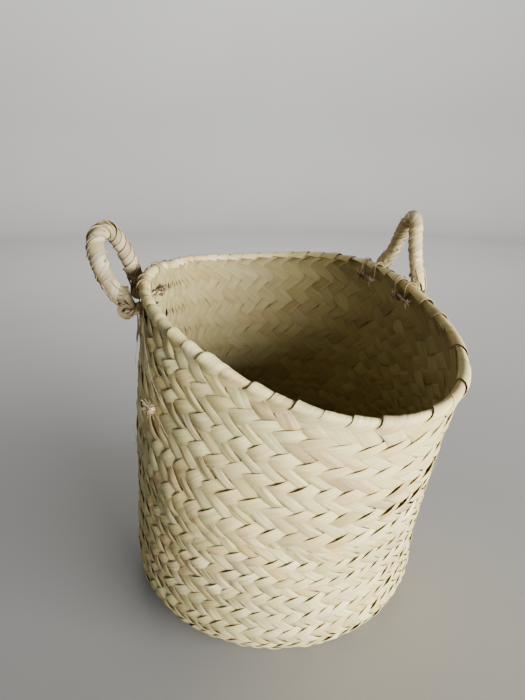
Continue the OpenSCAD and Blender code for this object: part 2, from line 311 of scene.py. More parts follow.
# Dry leaf tones, each with its share among the strips
LEAF_TONES = {
    "straw": (STRAW, 34), "pale": ((0.67, 0.585, 0.27), 24), "green_grey": ((0.55, 0.49, 0.23), 12),
    "cream": ((0.72, 0.635, 0.33), 13), "pink_tan": ((0.61, 0.465, 0.215), 12),
    "ochre": ((0.56, 0.43, 0.165), 4), "brown": ((0.42, 0.32, 0.155), 1.2),
}
INSIDE_PAINTED_SHADE = (0.52, 0.505, 0.47)   # painted shade: darkens the side of the leaf that lies inside the basket, standing in for the shade in there
HANDLE_TONES = {
    "straw": ((0.47, 0.39, 0.215), 45), "warm": ((0.44, 0.34, 0.19), 25), "pale": ((0.55, 0.475, 0.275), 22),
    "grey": ((0.40, 0.345, 0.21), 8),
}
CORD_TONES = {"cord": ((0.44, 0.36, 0.20), 60), "warm": ((0.45, 0.34, 0.19), 40)}
KNOT_TONES = {"dull": ((0.20, 0.155, 0.085), 70), "dark": ((0.13, 0.095, 0.05), 30)}
PALE_TONES = {"pale": ((0.58, 0.50, 0.29), 60), "straw": ((0.50, 0.42, 0.23), 40)}
TIE_TONES = {"pale": ((0.68, 0.60, 0.38), 60), "warm": ((0.60, 0.43, 0.20), 40)}


def tones(palette, count):
    """A tone for each of count strips, a little off its palette colour in lightness and in hue."""
    colours = np.array([c for c, _ in palette.values()])
    share = np.array([s for _, s in palette.values()], float)
    picked = colours[rng.choice(len(colours), count, p=share / share.sum())]
    return np.clip(picked * rng.normal(1, 0.09, (count, 1)) * rng.normal(1, 0.015, (count, 3)), 0.02, 0.85)


# ---- the twill ----
LIFT = 1.8 * MM   # how far a strip swings out and in of the wall's middle
STEPS = 8   # mesh steps along a strip in a row
LOOSE_DIR = math.radians(-20)   # where the slack upper half of the wall is loosest
SAG_DIR = math.radians(-85)   # rows sag to the right of this direction
UNEVEN_X, UNEVEN_Y = 0.16, 1.5 * MM   # how far the columns stray, in strips, and the rows
FLAT_EASE = 12 * MM   # strips stay off the floor up to this far past the flat base
UPPER_ROW_H = 14.1 * MM   # rows are coarser in the upper half of the wall
GROOVE = 2.2 * MM   # a strip sinks over this length towards a sewn seam
FLOATS = 64   # floats of a strip, each with its own swell and turn
STRIP_RUN = 1.7   # length of a strip in a row, in row heights


def float_height(tau):
    """From 1 in the middle of a float on the outside, through 0 where it dips, to -1 on the inside."""
    c = np.cos(math.pi * tau / 2)
    return np.sign(c) * np.abs(c) ** 0.85


class Family:
    """The strips of one lean: lean 1 rises to the right and -1 falls to the right, seen from outside. Widths
    are in lattice steps, and many strips have a fold along them, where the leaf is doubled."""

    def __init__(self, lean, count, lift):
        rises = lean > 0
        self.lean, self.count, self.lift = lean, count, lift
        self.tone = tones(LEAF_TONES, count)
        self.width = rng.uniform(1.06, 1.26, count) if rises else rng.uniform(0.9, 1.06, count)
        self.thick = rng.uniform(0.85, 1.3, count) * LEAF_T
        self.curl = rng.uniform(0.1, 0.45, count) if rises else rng.uniform(0.25, 0.75, count)
        self.tilt = rng.normal(-0.34 if rises else 0.4, 0.2, count) * MM
        self.fold_at = rng.uniform(-0.5, 0.5, count)
        doubled = rng.random(count) < (0.3 if rises else 0.65)
        self.fold = np.where(doubled, rng.choice([-1, 1], count) * rng.uniform(0.18, 0.42, count), 0) * MM
        self.sway = rng.uniform(0, 2 * math.pi, (count, 3, 1, 1))
        self.swell = rng.uniform(0.65, 1.4, (count, FLOATS))
        self.turned = rng.uniform(-0.3, 2.3, (count, FLOATS))
        self.spread = rng.uniform(0, 9, (count, 1, 1))

    def lines(self):
        """Positions across each strip, close together at its edges and on each side of its fold."""
        f = self.fold_at[:, None]
        edge, near = np.ones_like(f), np.full_like(f, 0.84)
        middle = [(f - near) / 2, f - 0.05, f + 0.05, (f + near) / 2]
        return np.concatenate([-edge, -near, *middle, near, edge], 1)

    def grid(self, y0, y1, square=0.0, ragged=0.0):
        """Lattice places X and Y and position across, for all strips from row y0 to row y1. square is how far
        each strip's far end is cut square to the strip, from 0, along the row, to 1. ragged is how many rows
        longer or shorter single strips are."""
        k = max(2, round((y1 - y0) * STEPS)) + 1
        y = np.linspace(y0, y1, k)[None, :, None]
        c = self.lines()[:, None, :]
        start = np.arange(self.count)[:, None, None]
        drift = sum(0.04 * np.sin((1.3 + i) * y + self.sway[:, i]) for i in range(3))
        half = 0.5 * self.width[:, None, None] * c
        longer = ragged * rng.uniform(-1, 1, (self.count, 1, 1)) if ragged else 0
        y = y + (longer - self.lean * half / 2 * square) * ease(y - y1 + 1)
        x = start + drift + self.lean * y + half
        return x, np.broadcast_to(y, x.shape), np.broadcast_to(c, x.shape), start

    def phase(self, x, y, start):
        """0 in the middle of a float on the outside, 2 in the middle of one on the inside, and so on."""
        return x + y - start - 0.5 if self.lean > 0 else x - y - start + 2.5

    def height(self, x, y, c, start, stay=None):
        """Height out of the wall's middle. stay is a row past which a strip keeps the height it has there."""
        tau = self.phase(x, y, start)
        if stay is not None:
            last = self.phase(start + self.lean * stay, stay, start)
            tau = np.minimum(tau * self.lean, last * self.lean) * self.lean
        which = np.floor((tau + 1) / 2).astype(int) % self.swell.shape[1]

        def per_float(values):
            return np.take_along_axis(values, which.reshape(self.count, -1), 1).reshape(tau.shape)

        f = float_height(tau) * per_float(self.swell)
        on_top = np.cos(math.pi * tau / 2) ** 2
        turned = self.tilt[:, None, None] * (1 + (per_float(self.turned) - 1) * on_top)
        h = self.lift * f * (1 - self.curl[:, None, None] * c ** 4) + turned * c
        over_fold = c > self.fold_at[:, None, None]
        return h + np.where(over_fold, self.fold[:, None, None], 0) * np.where(f > 0, 1, 0.4)


class Braid:
    """A band of twill between the path lengths low and high. Row 0 is at q0, rows are row_h high, and count
    strips of each lean go round. loose widens the lattice towards LOOSE_DIR, lean shifts it to the right row
    by row, and sag lowers its middle rows to the right of SAG_DIR and lifts them to the left of it."""

    def __init__(self, q0, row_h, count, low, high, loose=0.0, lean=0.0, sag=0.0):
        self.q0, self.row_h, self.count, self.low, self.high = q0, row_h, count, low, high
        self.loose, self.lean, self.sag = loose, lean, sag
        lift = LIFT * min(1, row_h / UPPER_ROW_H) ** 0.5
        self.families = Family(1, count, lift), Family(-1, count, lift)

    def row(self, q):
        return (q - self.q0) / self.row_h

    def angle(self, x, y):
        turn = 2 * math.pi / self.count
        a = (x + self.lean * y) * turn
        a = a + self.loose * np.sin(a - LOOSE_DIR)
        return a + turn * UNEVEN_X * (np.sin(5 * a + 0.9 * y) + 0.8 * np.sin(11 * a - 0.7 * y + 2)) / 2

    def path(self, y, a):
        """Path length of a row in the direction a."""
        q = self.q0 + self.row_h * y
        share = np.clip((q - self.low) / (self.high - self.low), 0, 1)
        uneven = np.sin(7 * a + 0.8 * y) + np.sin(13 * a - 0.5 * y + 1) + 0.7 * np.sin(22 * a + y + 4)
        shift = self.sag * np.sin(a - SAG_DIR) - UNEVEN_Y * uneven / 2
        return q - shift * np.sin(math.pi * share)

    def strips(self, y_low, y_high):
        """The part of the band between two rows."""
        # the strips' inner side is painted darker as shade
        strips = Strips(INSIDE_PAINTED_SHADE)
        for family in self.families:
            x, y, c, start = family.grid(y_low, y_high)
            h = family.height(x, y, c, start)
            a = self.angle(x, y)
            q = self.path(y, a)
            sunk = ease(np.minimum(q - self.low, self.high - q) / GROOVE)
            d = PLAIT_T / 2 - h * (0.5 + 0.5 * sunk)
            d = np.where(q < FLAT_R + FLAT_EASE, np.maximum(d, LEAF_T), d)
            strips.add(skin(q, a, d), c, family.tone, y * self.row_h * STRIP_RUN, family.thick, family.spread)
        return strips

    def turn(self, node, q_low, q_high):
        """The piece for one CAD turn."""
        strips = self.strips(self.row(q_low), self.row(q_high))
        place(strips.mesh(node + "_leaf", LEAF), "basket", "palm_leaf", node)


BASE_ROWS, WALL_ROWS = 6, 6   # rows in a turn of the braid, below the slack upper half
UPPER_STRIPS, LOWER_STRIPS, EDGE_STRIPS, BASE_STRIPS = 62, 62, 56, 32   # strips of each lean, all round
SEAM = [seam_q(i) for i in range(7)]
UPPER_Q0 = SEAM[4] + 0.69 * UPPER_ROW_H   # the seam lies in a row of falling floats

base_1 = Braid(SEAM[0], BRAID_W / BASE_ROWS, BASE_STRIPS, SEAM[0], SEAM[1])
base_2 = Braid(SEAM[1], BRAID_W / BASE_ROWS, EDGE_STRIPS, SEAM[1], SEAM[2])
lower = Braid(SEAM[2], BRAID_W / WALL_ROWS, LOWER_STRIPS, SEAM[2], SEAM[4], loose=0.04, lean=0.12)
upper = Braid(UPPER_Q0, UPPER_ROW_H, UPPER_STRIPS, SEAM[4], RIM_Q, loose=0.39, lean=0.09, sag=6 * MM)

base_1.turn("base_turn_1", SEAM[0], SEAM[1])
base_2.turn("base_turn_2", SEAM[1], SEAM[2])
lower.turn("wall_turn_1", SEAM[2], SEAM[3])
lower.turn("wall_turn_2", SEAM[3], SEAM[4])
upper.turn("wall_turn_3", SEAM[4], SEAM[5])
upper.turn("wall_turn_4", SEAM[5], SEAM[6])

# ---- the rim ----
# Outline of the rolled rim in its own plane: out of the wall and up along it, from the middle of the roll.
# It leaves the wall below the roll, goes up round the roll and ends on the inside of the wall.
ROLL_R = 3.3 * MM   # radius of the roll
ROLL_IN = 0.6 * MM   # how far the roll's middle lies inwards of the wall's
ROLL_START = 11 * MM   # depth below the roll's middle where the outline leaves the wall
TUCK_IN = PLAIT_T * 0.35   # depth inside the wall's middle at which the turned-over ends lie
TANGENT = math.asin(ROLL_R / ROLL_START)
OUTLINE_STEP = 0.2 * MM


def rim_outline():
    """The runs, points and outward directions along the rim's outline."""
    turn = np.linspace(-TANGENT, math.pi + TANGENT, 60)
    corners = np.concatenate([
        [[0, -4 * ROLL_START], [0, -ROLL_START]],
        ROLL_R * np.stack([np.cos(turn), np.sin(turn)], -1) - [ROLL_IN, 0],
        [[-TUCK_IN, -ROLL_START], [-TUCK_IN, -5 * ROLL_START]]])
    run = np.concatenate([[0], np.cumsum(np.linalg.norm(np.diff(corners, axis=0), axis=1))])
    at = np.arange(0, run[-1], OUTLINE_STEP)
    line = np.stack([np.interp(at, run, corners[:, i]) for i in range(2)], -1)
    reach = 8
    kernel = np.hanning(2 * reach + 3)[1:-1]
    kernel /= kernel.sum()
    padded = np.concatenate([line[:1].repeat(reach, 0), line, line[-1:].repeat(reach, 0)])
    line = np.stack([np.convolve(padded[:, i], kernel, "valid") for i in range(2)], -1)
    along = unit(np.gradient(line, axis=0) + 1e-12)
    return at - 3 * ROLL_START, line, np.stack([along[:, 1], -along[:, 0]], -1)


OUTLINE_S, OUTLINE, OUTLINE_N = rim_outline()


def rim_axes(a):
    """Middle of the roll, the direction up along the wall and the direction out of it, in the direction a."""
    c = skin(RIM_Q, a, PLAIT_T / 2)
    up = unit(c - skin(RIM_Q - RIM_D / 2, a, PLAIT_T / 2))
    radial = np.stack([np.cos(a), np.sin(a), np.zeros_like(a)], -1)
    out = unit(radial - (radial * up).sum(-1, keepdims=True) * up)
    return c, up, out


def on_rim(s, a, h):
    """Points at the run s along the rim's outline, 0 where it leaves the wall, h above it."""
    o = np.interp(s, OUTLINE_S, OUTLINE[:, 0]) + h * np.interp(s, OUTLINE_S, OUTLINE_N[:, 0])
    u = np.interp(s, OUTLINE_S, OUTLINE[:, 1]) + h * np.interp(s, OUTLINE_S, OUTLINE_N[:, 1])
    c, up, out = rim_axes(a)
    return c + out * o[..., None] + up * u[..., None]


def stretch(a):
    """Real length of the wall in the direction a for a unit of path length."""
    return (rim_z(a) - FOOT_R) / WALL_RUN


STEEP_FROM, STEEP_TO, STEEP = 8.55, 10.0, 0.42   # rows in which the lattice is sheared, and how much
CROSS_FROM, CROSS = 9.9, 0.5   # row from which the strips turn to cross the rim, and how much


def rim_points(y, x, h):
    """Places the upper band's lattice on the top of the wall and round the rim."""
    steep = STEEP * np.clip(y - STEEP_FROM, 0, STEEP_TO - STEEP_FROM)
    x = x + steep - CROSS * np.clip(y - CROSS_FROM, 0, None)
    a = upper.angle(x, y)
    q = upper.path(y, a)
    s = (q - RIM_Q) * stretch(a) + ROLL_START
    s = np.where(s > 0, s / stretch(a), s)
    wall = skin(np.minimum(q, RIM_Q), a, PLAIT_T / 2 - h)
    blend = ease((s + 12 * MM) / (6 * MM))[..., None]
    return wall * (1 - blend) + on_rim(s, a, h) * blend


LAST_ROW = 10.25   # past this row the rising strips keep their height
ROLL_ROW = 9.6   # where the roll's piece starts
TUCK_ROW = 10.35   # where the falling strips end, tucked in under the roll
ROLL_END = 11.4   # where the rising strips end, past the roll's crest
SHINGLE, LIP = 0.45 * MM, 0.8 * MM   # tilt of a strip on the roll, and the lift of its very edge
ROLL_FLAT = 0.9 * MM   # how much lower the strips lie on the roll


def make_rim():
    rises, falls = upper.families
    last = upper.row(SEAM[6])
    # the strips' inner side is painted darker as shade
    turn, roll = Strips(INSIDE_PAINTED_SHADE), Strips(INSIDE_PAINTED_SHADE)
    for family, end in ((rises, ROLL_ROW), (falls, TUCK_ROW)):
        x, y, c, start = family.grid(last, end)
        h = family.height(x, y, c, start)
        turn.add(rim_points(y, x, h), c, family.tone, y * upper.row_h * STRIP_RUN,
                 family.thick, family.spread)
    place(turn.mesh("rim_turn_leaf", LEAF), "basket", "palm_leaf", "rim_turn")

    # Each rising strip goes on over the roll, and its upper edge laps over the strip on its left
    x, y, c, start = rises.grid(ROLL_ROW, ROLL_END, square=0.3, ragged=0.12)
    h = rises.height(x, y, c, start, LAST_ROW)
    laid = ease((y - ROLL_ROW) / 0.5)
    loose = rng.uniform(-0.3, 0.5, (len(start), 1, 1)) * MM
    ridge = 0.2 * MM * np.cos(2 * math.pi * (1.6 * c + 0.25 * np.sin(2.1 * y + start)))
    shingle = -SHINGLE * c + LIP * np.clip(-c - 0.6, 0, None)
    h = h + laid * (shingle + loose + ridge - ROLL_FLAT)
    roll.add(rim_points(y, x, h), c, rises.tone, y * upper.row_h * STRIP_RUN, rises.thick, rises.spread)
    place(roll.mesh("rim_roll_leaf", LEAF), "basket", "palm_leaf", "rim_roll")


make_rim()


# ---- the button that the coil of braid starts from ----
def make_button():
    """A small round of twill, closed in the middle by a rolled end of leaf."""
    inner_r, rows, strips_round = 3.5 * MM, 3, 14
    braid = Braid(inner_r, (BUTTON_R - inner_r) / rows, strips_round, inner_r, BUTTON_R)
    strips = braid.strips(0, rows)
    turns, leaf_w = 2.5, 2.2 * MM
    t = np.linspace(0.15, 1, 60)[:, None]
    c = np.linspace(-1, 1, 4)[None]
    angle = 2 * math.pi * turns * t + 0 * c
    r = 5 * MM * t + 0 * c
    grid = np.stack([r * np.cos(angle), r * np.sin(angle), PLAIT_T / 2 + leaf_w / 2 * c + 0 * t], -1)
    strips.add(grid[None], c[None], tones(LEAF_TONES, 1), r.max() * angle[None])
    place(strips.mesh("start_button_leaf", LEAF), "basket", "palm_leaf", "start_button")


make_button()


# ---- cords and windings ----
class Rope:
    """A smooth line with two directions square to it, which cords and windings are laid round."""

    def __init__(self, points, ref):
        along = unit(np.gradient(points, axis=0))
        self.path = points
        self.side = unit(np.cross(along, ref))
        self.other = np.cross(self.side, along)
        self.run = np.concatenate([[0], np.cumsum(np.linalg.norm(np.diff(points, axis=0), axis=1))])
        self.length = self.run[-1]

    def at(self, s, turn, r):
        """Points at the run s, r away from the line in the direction turn round it."""
        def pick(values):
            return np.stack([np.interp(s, self.run, values[:, i]) for i in range(3)], -1)

        s, turn, r = np.broadcast_arrays(s, turn, r)
        away = pick(self.side) * np.cos(turn)[..., None] + pick(self.other) * np.sin(turn)[..., None]
        return pick(self.path) + away * r[..., None]


def spline(route, gap=1 * MM):
    """Points about gap apart on the smooth curve through the points of a route."""
    p = np.asarray(route, float)
    p = np.concatenate([p[:1], p, p[-1:]])
    t = np.linspace(0, 1, 12, endpoint=False)[:, None]
    parts = []
    for a, b, c, d in zip(p, p[1:], p[2:], p[3:]):
        parts.append(0.5 * (2 * b + (c - a) * t + (2 * a - 5 * b + 4 * c - d) * t ** 2
                            + (3 * b - a - 3 * c + d) * t ** 3))
    curve = np.concatenate(parts + [p[-1:]])
    run = np.concatenate([[0], np.cumsum(np.linalg.norm(np.diff(curve, axis=0), axis=1))])
    even = np.linspace(0, run[-1], max(4, round(run[-1] / gap)))
    return np.stack([np.interp(even, run, curve[:, i]) for i in range(3)], -1)


WIND_STEPS = 22   # mesh steps in a turn of a winding


def wobble(t, rate, size=1.0):
    """A smooth random wave of about the given size along t."""
    return size * sum(np.sin(rate * (0.6 + 0.5 * i) * t + rng.uniform(0, 6.3)) for i in range(3)) / 1.7


def twist(strips, rope, r, plies, pitch, palette, steps=8):
    """A cord of round plies twisted together, r in radius, along the whole of a rope's line."""
    k = math.sin(math.pi / plies)
    ply_r = r * k / (1 + k)
    twists = max(1, round(rope.length / pitch))
    s = np.linspace(0, rope.length, twists * steps + 1)[None, :, None]
    c = np.array([-0.97, -0.7, 0, 0.7, 0.97])[None, None]
    phase = np.arange(plies)[:, None, None] * 2 * math.pi / plies
    turn = phase + 2 * math.pi * twists * s / rope.length
    lay_r = (r - ply_r) * (1 + 0.05 * wobble(s / pitch, 2.3))
    middle = rope.at(s, turn, lay_r + 0 * turn)
    ahead = rope.at(s, turn + 0.01, lay_r + 0 * turn)
    grid = middle + unit(ahead - middle) * (ply_r * c)[..., None]
    thick = np.broadcast_to(2 * ply_r * np.sqrt(1 - c ** 2), grid.shape[:3])
    strips.add(grid, c, tones(palette, plies), s, thick, rng.uniform(0, 9, (plies, 1, 1)))


def wind(strips, rope, start, end, r, width, pitch, phase, tilt, palette, lift=0.0, shrink=0.0):
    """A flat strip wound round a rope from one run to another. tilt raises one edge over the next turn,
    lift throws that edge up here and there, and shrink narrows the strip and the winding to its end."""
    count = max(6, round(abs(end - start) / pitch * WIND_STEPS))
    t = np.linspace(0, 1, count + 1)[None, :, None]
    c = np.array([-1, -0.8, -0.45, -0.1, 0.2, 0.5, 0.8, 1])[None, None]
    wave = t * abs(end - start) / pitch
    half = width / 2 * (1 + wobble(wave, 3.1, 0.09)) * (1 - shrink * t ** 2)
    slope = math.atan2(pitch, 2 * math.pi * r)
    s = start + (end - start) * t + math.cos(slope) * half * c
    turn = phase - 2 * math.pi * (end - start) * t / pitch + math.sin(slope) * half * c / r
    up = tilt * c + wobble(wave, 5.0, 0.16 * MM) * np.ones_like(c)
    thrown = np.clip(wobble(wave, 4.1), 0, None) ** 2 * np.clip(c, 0, 1) ** 2
    up = up + 0.14 * MM * np.cos(7 * c + wobble(t, 6.0, 2.0))
    grid = rope.at(np.clip(s, 0, rope.length), turn, (r + up + lift * thrown) * (1 - 0.5 * shrink * t ** 2))
    strips.add(grid, c, tones(palette, 1), 2 * math.pi * r * abs(end - start) / pitch * t,
               LEAF_T * 1.1, rng.uniform(0, 9, (1, 1, 1)))


def strand(strips, points, normal, width, palette, thick=LEAF_T, taper=0.6, twirl=0.0):
    """A loose flat strand along points. normal is what its flat side faces, taper narrows its far end and
    twirl turns it about its own line."""
    rope = Rope(points, np.broadcast_to(normal, points.shape))
    t = (rope.run / rope.length)[None, :, None]
    c = np.array([-1, -0.5, 0.5, 1])[None, None]
    half = width / 2 * (1 - taper * t ** 3) * (1 + wobble(t, 9.0, 0.06))
    turn = twirl * t
    side, other = rope.side[None, :, None], rope.other[None, :, None]
    flat = side * np.cos(turn)[..., None] + other * np.sin(turn)[..., None]
    grid = points[None, :, None] + flat * (half * c)[..., None]
    strips.add(grid, c, tones(palette, 1), rope.run[None, :, None], thick, rng.uniform(0, 9, (1, 1, 1)))


# ---- sewing cords and the rope in the rim ----
ROUND = np.linspace(0, 2 * math.pi, 361)
UPWARDS = np.array([0.0, 0.0, 1.0])
SEWING_R = 0.6 * MM   # pulled tight, the sewing cord lies between the strips
RIM_ROPE_R = RIM_CORE_D / 2 * 0.8   # thinner than its solid, to fit in the slim roll


def make_seam_cords():
    for i, q in enumerate(SEAM):
        strips = Strips()
        rope = Rope(skin(q, ROUND, PLAIT_T / 2), UPWARDS)
        twist(strips, rope, SEWING_R, 2, 7 * MM, CORD_TONES, 6)
        place(strips.mesh(f"seam_cord_{i + 1}_twine", CORD), "basket", "palm_cord", f"seam_cord_{i + 1}")


def make_rim_core():
    strips = Strips()
    rope = Rope(rim_axes(ROUND)[0], UPWARDS)
    twist(strips, rope, RIM_ROPE_R, 3, 18 * MM, CORD_TONES)
    place(strips.mesh("rim_core_rope", CORD), "basket", "palm_cord", "rim_core")


make_seam_cords()
make_rim_core()

# ---- handles ----
# Handle axes: u along the hinge line from the back foot to the front one, v away from the basket, w up.
LEFT_ROUTE = [
    [-26, 0, 6.8], [-25, 3, 17], [-21, 7, 35], [-16, 11, 47], [-10, 14, 55], [-1, 18, 61],
    [11, 23, 59], [20, 23, 49], [23, 19, 33], [25, 11, 17], [26, 1, 6.8]
]
RIGHT_ROUTE = [
    [-32, 0, 6.8], [-31, 1.2, 14], [-26, 2.5, 24], [-19, 3.5, 39], [-14, 4.5, 56], [-9, 6, 69],
    [-1, 6, 76], [7, 4, 69], [13, 1.5, 56], [19, 0.5, 40], [26, 1.8, 22], [31.5, 1.2, 12], [32, 0, 6.8]
]
LEG_X = EYE_W / 2 + LASHING_D / 2 + 1 * MM
LEG_LEN = HINGE_OUT + PLAIT_T + KNOT_GAP + KNOT_R


class Handle:
    """One handle's own axes and route, and its leaf's tones, which are the palette's times a factor of
    painted light and shade: below 1 paints shade, above 1 paints light.
    """

    def __init__(self, name, feet, drop, route, painted_light_scale):
        self.tones = {word: (np.array(tone) * painted_light_scale, share) for word, (tone, share) in HANDLE_TONES.items()}
        back, front = (skin(RIM_Q - drop / stretch(a), a, -HINGE_OUT, 0) for a in feet)
        self.name, self.feet, self.drop = name, feet, drop
        self.origin = (back + front) / 2
        self.u = unit(front - back)
        v = unit(np.cross(self.u, UPWARDS))
        self.v = v if v @ self.origin > 0 else -v
        w = np.cross(self.u, self.v)
        self.w = w if w[2] > 0 else -w
        self.span = np.linalg.norm(front - back) / 2
        self.route = np.array(route) * MM

    def at(self, points):
        """From the handle's own axes to the basket's."""
        p = np.asarray(points, float)
        return self.origin + p[..., :1] * self.u + p[..., 1:2] * self.v + p[..., 2:3] * self.w

    def foot(self, side, points):
        """Points given in mm from the middle of a foot. side is -1 for the back foot and 1 for the front."""
        p = np.asarray(points, float) * MM
        return self.at(p + np.array([side * self.span, 0, 0]))

    def rope(self):
        points = spline(self.route)
        return Rope(self.at(points), np.broadcast_to(self.v, points.shape))


WRAP_STRIPS, WRAP_PITCH, WRAP_W = 3, 25 * MM, 9.6 * MM   # strips wound side by side, their pitch and width
WRAP_R, OVER_R, FRAY_R = 6.7 * MM, 7.3 * MM, 7.2 * MM   # radii of it, of strips over it and of torn ends
WRAP_BARE = 6 * MM   # length without winding at each foot


def make_handle(handle):
    """The rope of a handle, and the strips wound round it side by side."""
    name, body = handle.name, handle.name + "_handle"
    rope = handle.rope()
    core = Strips()
    twist(core, rope, HANDLE_CORE_D / 2 * 0.96, 3, 34 * MM, CORD_TONES)
    place(core.mesh(f"{name}_handle_core_rope", CORD), body, "palm_cord", f"{name}_handle_core")

    wrap = Strips()
    for i in range(WRAP_STRIPS):
        wind(wrap, rope, WRAP_BARE, rope.length - WRAP_BARE, WRAP_R, WRAP_W, WRAP_PITCH,
             2 * math.pi * i / WRAP_STRIPS + 0.6, 0.65 * MM, handle.tones, lift=1.1 * MM)
    # Narrow strips laid over the winding
    for i in range(9):
        start = rope.length * rng.uniform(0.03, 0.75)
        wind(wrap, rope, start, start + rope.length * rng.uniform(0.1, 0.24), OVER_R,
             rng.uniform(1.4, 5) * MM, WRAP_PITCH * rng.uniform(0.9, 1.7), rng.uniform(0, 6.3), 0.15 * MM,
             handle.tones, lift=0.6 * MM, shrink=0.3)
    for i in range(26):
        fray(wrap, rope, rng.uniform(0.06, 0.94) * rope.length, handle.tones)
    for side in (-1, 1):
        strap_eye(wrap, handle, rope, side)
    place(wrap.mesh(f"{name}_handle_wrap_leaf", HANDLE), body, "handle_leaf", f"{name}_handle_wrap")


def strap_eye(strips, handle, rope, side):
    """Strips that come down one side of a handle's foot, go round under its eye and up the other side."""
    bottom = np.linspace(math.radians(20), math.radians(-200), 15)
    outer = math.pi / 2 if (rope.other[0] @ handle.v) > 0 else -math.pi / 2
    along, radii = np.array([17, 12, 7.5, 4]) * MM, np.array([6.0, 6.4, 7.2, 7.2]) * MM
    foot = handle.foot(side, [[0, 0, 0]])
    for across in (-1, 0, 1):
        reach = rng.uniform(0.8, 1.5)

        def on_arm(turn):
            s = along * reach if side < 0 else rope.length - along * reach
            return rope.at(s, turn, radii)

        spread = across * 0.75 * (1 if side < 0 else -1) * np.sign(rope.side[0] @ handle.u) * np.sign(outer)
        r = (6.85 + 0.12 * across) * MM
        circle = handle.foot(side, np.stack([0 * bottom + across * 4.5, r / MM * np.cos(bottom),
                                             r / MM * np.sin(bottom)], -1))
        route = np.concatenate([on_arm(outer - spread), circle, on_arm(-outer + spread)[::-1]])
        points = spline(route, 1.2 * MM)
        middle = foot + handle.u * ((points - foot) @ handle.u)[:, None] * 0.6
        middle = middle + handle.w * np.clip((points - middle) @ handle.w, 0, None)[:, None]
        strand(strips, points, unit(points - middle), rng.uniform(4.4, 5.6) * MM, handle.tones, taper=0.15)
    # Pale ends that pass loosely under the eye
    for i in range(3):
        t = np.linspace(0, 1, 24)
        turn = math.radians(40) - math.radians(rng.uniform(170, 230)) * t
        r, x = 7.45 + rng.uniform(0.1, 0.45) * t ** 2, rng.uniform(-5, 5) + rng.uniform(-5, 5) * t
        loose = handle.foot(side, np.stack([x, r * np.cos(turn), r * np.sin(turn)], -1))
        middle = handle.foot(side, np.stack([x, 0 * t, 0 * t], -1))
        strand(strips, loose, unit(loose - middle), rng.uniform(1.6, 2.8) * MM, PALE_TONES, LEAF_T * 0.8)


def fray(strips, rope, s, palette):
    """A torn end of leaf that lies along a winding and lifts off it at its tip."""
    length, turn = rng.uniform(5, 11) * MM, rng.uniform(0, 2 * math.pi)
    way, rise = rng.choice([-1, 1]), rng.uniform(0.8, 3.2) * MM
    t = np.linspace(0, 1, 8)
    round_it = turn + way * t * length / FRAY_R
    points = rope.at(np.clip(s + length * 0.45 * t, 0, rope.length), round_it, FRAY_R + rise * t ** 2)
    normal = unit(rope.at(s + 0 * t, round_it, FRAY_R + 0 * t) - rope.at(s + 0 * t, round_it, 0 * t))
    strand(strips, points, normal, rng.uniform(0.7, 2.6) * MM, palette, LEAF_T * 0.6, taper=0.8)


def make_eye(handle, side, word):
    """The eye at a foot: a strip rolled up round the hinge line, with a second one tied round its middle."""
    strips = Strips()
    ends = handle.foot(side, [[-7, 0, 0], [7, 0, 0]])
    rope = Rope(np.linspace(ends[0], ends[1], 9), np.broadcast_to(handle.v, (9, 3)))
    layers = 5.3
    t = np.linspace(0, 1, round(layers * 20))[None, :, None]
    c = np.array([-1, -0.93, 0, 0.93, 1])[None, None]
    r = EYE_BORE_D / 2 + 0.35 * MM + (EYE_D / 2 - EYE_BORE_D / 2 - 0.9 * MM) * t
    half = EYE_W / 2 * (0.93 + wobble(t, 13.0, 0.03))
    grid = rope.at(rope.length / 2 + half * c, 2 * math.pi * layers * t + 0 * c, r + 0 * c)
    strips.add(grid, c, tones(handle.tones, 1), 2 * math.pi * layers * r.mean() * t)
    for start in (0.5, 5.2):
        wind(strips, rope, start * MM + 2 * MM, start * MM + 6.2 * MM, 6.15 * MM, 4.6 * MM, 3.6 * MM,
             rng.uniform(0, 6.3), 0.3 * MM, handle.tones, 0.2 * MM)
    place(strips.mesh(f"{handle.name}_{word}_eye_leaf", HANDLE), f"{handle.name}_handle", "handle_leaf",
          f"{handle.name}_{word}_eye")


def on_wall(q, a, out):
    """Points out in front of the wall's outer surface."""
    return skin(q, a, -np.asarray(out, float))


def over_rim(a0, a1, low, high, h=3.4 * MM):
    """Points on the rim's outline from the run low on the outside to high on the inside, from a0 to a1."""
    t = np.linspace(0, 1, round((high - low) / (1.2 * MM)))
    return on_rim(low + (high - low) * t, a0 + (a1 - a0) * t ** 1.6, h + 0 * t)


